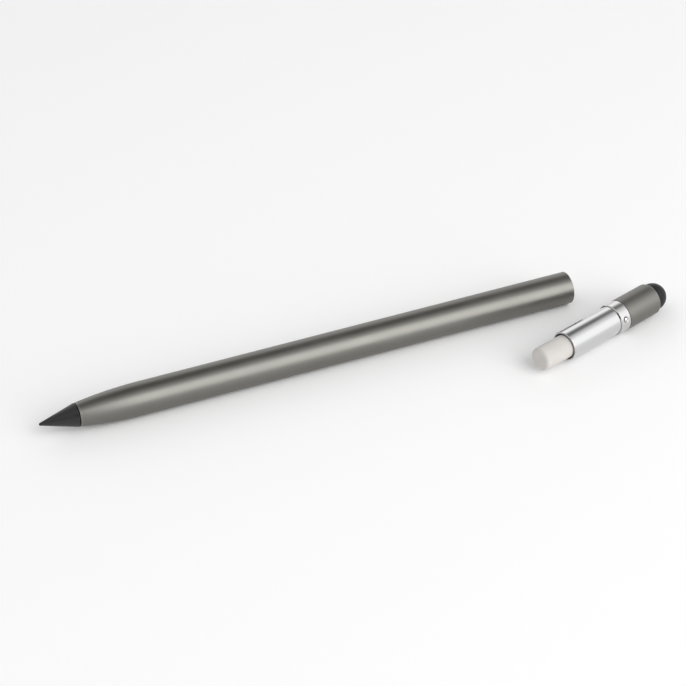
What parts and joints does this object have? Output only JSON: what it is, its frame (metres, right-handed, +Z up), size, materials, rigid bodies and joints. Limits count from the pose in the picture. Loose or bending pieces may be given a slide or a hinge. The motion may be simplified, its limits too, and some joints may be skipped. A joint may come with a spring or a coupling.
{
  "type": "inkless metal pencil",
  "caption": "Slim round pencil: thin metal barrel with an ogive nose and a screw-in graphite nib, closed by a pull-out end plug with an eraser in front and a rubber stylus dome behind.",
  "frame": {"origin": "centre of the barrel's open rear mouth, where the end plug goes in", "axes": "+X along the barrel out of its mouth, so the nib points to -X; +Z up from the table it lies on"},
  "size_m": [0.1578, 0.0311, 0.008],
  "materials": {
    "gunmetal": "satin anodised, warm grey",
    "brass": "turned",
    "steel": "turned thread",
    "graphite": "matte graphite composite",
    "chrome": "polished",
    "eraser_rubber": "soft off-white vinyl",
    "core_plastic": "moulded",
    "dome_rubber": "smooth conductive rubber"
  },
  "bodies": {
    "barrel": {"barrel": "gunmetal", "nose_bush": "brass"},
    "stud": {"nib_stud": "steel"},
    "nib": {"nib": "graphite"},
    "plug": {"plug_sleeve": "gunmetal", "plug_collar": "chrome", "eraser_holder": "chrome", "stylus_core": "core_plastic", "stylus_dome": "dome_rubber"},
    "eraser": {"eraser": "eraser_rubber"}
  },
  "joints": [
    {"name": "nib_out", "type": "slide", "parent": "barrel", "child": "stud", "axis": [-1, 0, 0], "range_m": [0, 0.004]},
    {"name": "nib_turn", "type": "hinge", "parent": "stud", "child": "nib", "pos_m": [-0.1279, 0, 0], "axis": [-1, 0, 0], "range_deg": [0, 2880]},
    {"name": "plug_draw", "type": "slide", "parent": "barrel", "child": "plug", "axis": [0.9521, 0.3057, 0], "range_m": [0, 0.0246]},
    {"name": "eraser_pull", "type": "slide", "parent": "plug", "child": "eraser", "axis": [-0.9521, -0.3057, 0], "range_m": [0, 0.0095]}
  ],
  "couplings": [
    {"joint": "nib_turn", "follows": "nib_out", "rad_per_m": 12566}
  ]
}
